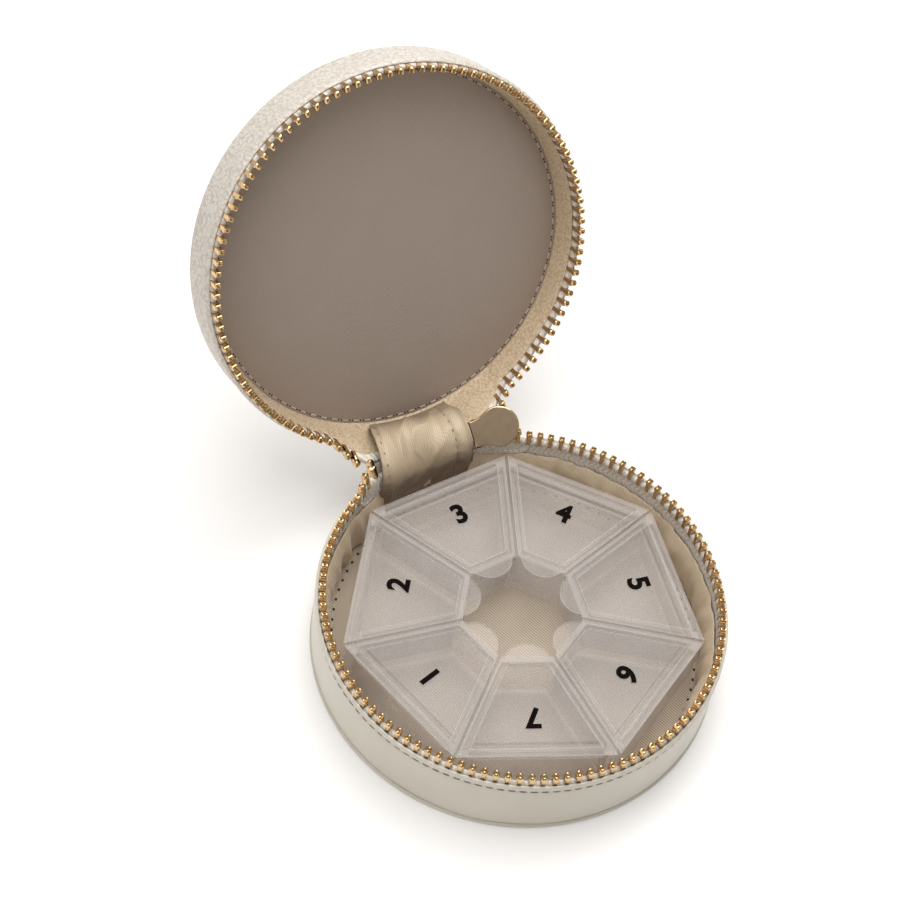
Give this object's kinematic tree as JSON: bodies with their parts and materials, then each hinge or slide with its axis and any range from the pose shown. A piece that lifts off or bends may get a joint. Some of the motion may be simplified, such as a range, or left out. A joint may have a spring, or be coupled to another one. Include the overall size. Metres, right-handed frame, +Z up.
{
  "type": "zip-up pill organizer case",
  "caption": "Round zip-up leather case, standing open, with a lift-out ring tray whose wedge-shaped pill compartments each have a hinged translucent lid.",
  "frame": {"origin": "centre of the underside of the case's base, on the surface it stands on", "axes": "+Z up; the case's hinge is at the back, towards +Y; +X to the right seen from the front"},
  "size_m": [0.1038, 0.1657, 0.1107],
  "materials": {
    "smooth_leather": "smooth, semi-gloss off-white",
    "pebbled_leather": "pebbled, off-white",
    "board": "matte",
    "satin_lining": "satin, cream",
    "taupe_satin": "satin, taupe",
    "zip_tape": "woven, off-white",
    "gold_metal": "polished gold",
    "frosted_plastic": "frosted translucent"
  },
  "bodies": {
    "case_base": {"base_bottom_panel": "smooth_leather", "base_side_band": "smooth_leather", "base_stiffener_ring": "board", "base_bottom_board": "board", "base_floor_pad": "taupe_satin", "base_wall_lining": "satin_lining", "base_zipper_tape": "zip_tape", "base_zipper_teeth": "gold_metal", "hinge_outer_strip": "smooth_leather", "hinge_satin_panel": "satin_lining"},
    "case_lid": {"lid_top_panel": "pebbled_leather", "lid_side_band": "pebbled_leather", "lid_stiffener_ring": "board", "lid_board": "board", "lid_pad": "taupe_satin", "lid_wall_lining": "satin_lining", "lid_zipper_tape": "zip_tape", "lid_zipper_teeth": "gold_metal"},
    "zip_ends": {"zip_start_stop": "gold_metal", "zip_end_stop": "gold_metal"},
    "zip_slider": {"slider_inner_plate": "gold_metal", "slider_outer_plate": "gold_metal", "slider_wedge": "gold_metal", "slider_crown": "gold_metal"},
    "zip_pull": {"zip_pull": "gold_metal"},
    "pill_tray": {"tray_body": "frosted_plastic"},
    "pill_lid_1": {"compartment_lid_1": "frosted_plastic"},
    "pill_lid_2": {"compartment_lid_2": "frosted_plastic"},
    "pill_lid_3": {"compartment_lid_3": "frosted_plastic"},
    "pill_lid_4": {"compartment_lid_4": "frosted_plastic"},
    "pill_lid_5": {"compartment_lid_5": "frosted_plastic"},
    "pill_lid_6": {"compartment_lid_6": "frosted_plastic"},
    "pill_lid_7": {"compartment_lid_7": "frosted_plastic"}
  },
  "joints": [
    {"name": "case_lid_hinge", "type": "hinge", "parent": "case_base", "child": "case_lid", "pos_m": [0, 0.052, 0.0195], "axis": [-1, 0, 0], "range_deg": [-116.8, 63], "deforming": ["hinge_outer_strip", "hinge_satin_panel"]},
    {"name": "zip_ends_fold", "type": "hinge", "parent": "case_base", "child": "zip_ends", "pos_m": [0, 0.0484, 0.0198], "axis": [-1, 0, 0], "range_deg": [-58.5, 31.6]},
    {"name": "zip_slider_run", "type": "hinge", "parent": "zip_ends", "child": "zip_slider", "pos_m": [0, 0.02491, 0.06218], "axis": [0, 0.8517, 0.524], "range_deg": [-309.2, 0]},
    {"name": "zip_pull_swing", "type": "hinge", "parent": "zip_slider", "child": "zip_pull", "pos_m": [0.01825, 0.0514, 0.01912], "axis": [0, -0.8517, -0.524], "range_deg": [-60, 95]},
    {"name": "tray_lift", "type": "slide", "parent": "case_base", "child": "pill_tray", "axis": [0, 0, 1], "range_m": [0, 0.03]},
    {"name": "pill_lid_1_hinge", "type": "hinge", "parent": "pill_tray", "child": "pill_lid_1", "pos_m": [-0.00256, 0.04052, 0.0163], "axis": [-0.998, -0.063, 0], "range_deg": [0, 100]},
    {"name": "pill_lid_2_hinge", "type": "hinge", "parent": "pill_tray", "child": "pill_lid_2", "pos_m": [-0.03328, 0.02327, 0.0163], "axis": [-0.573, -0.8196, 0], "range_deg": [0, 100]},
    {"name": "pill_lid_3_hinge", "type": "hinge", "parent": "pill_tray", "child": "pill_lid_3", "pos_m": [-0.03894, -0.01151, 0.0163], "axis": [0.2835, -0.959, 0], "range_deg": [0, 100]},
    {"name": "pill_lid_4_hinge", "type": "hinge", "parent": "pill_tray", "child": "pill_lid_4", "pos_m": [-0.01528, -0.03762, 0.0163], "axis": [0.9265, -0.3762, 0], "range_deg": [0, 100]},
    {"name": "pill_lid_5_hinge", "type": "hinge", "parent": "pill_tray", "child": "pill_lid_5", "pos_m": [0.01989, -0.0354, 0.0163], "axis": [0.8718, 0.4898, 0], "range_deg": [0, 100]},
    {"name": "pill_lid_6_hinge", "type": "hinge", "parent": "pill_tray", "child": "pill_lid_6", "pos_m": [0.04008, -0.00652, 0.0163], "axis": [0.1606, 0.987, 0], "range_deg": [0, 100]},
    {"name": "pill_lid_7_hinge", "type": "hinge", "parent": "pill_tray", "child": "pill_lid_7", "pos_m": [0.03009, 0.02727, 0.0163], "axis": [-0.6715, 0.741, 0], "range_deg": [0, 100]}
  ],
  "couplings": [
    {"joint": "zip_ends_fold", "follows": "case_lid_hinge", "ratio": 0.5}
  ]
}
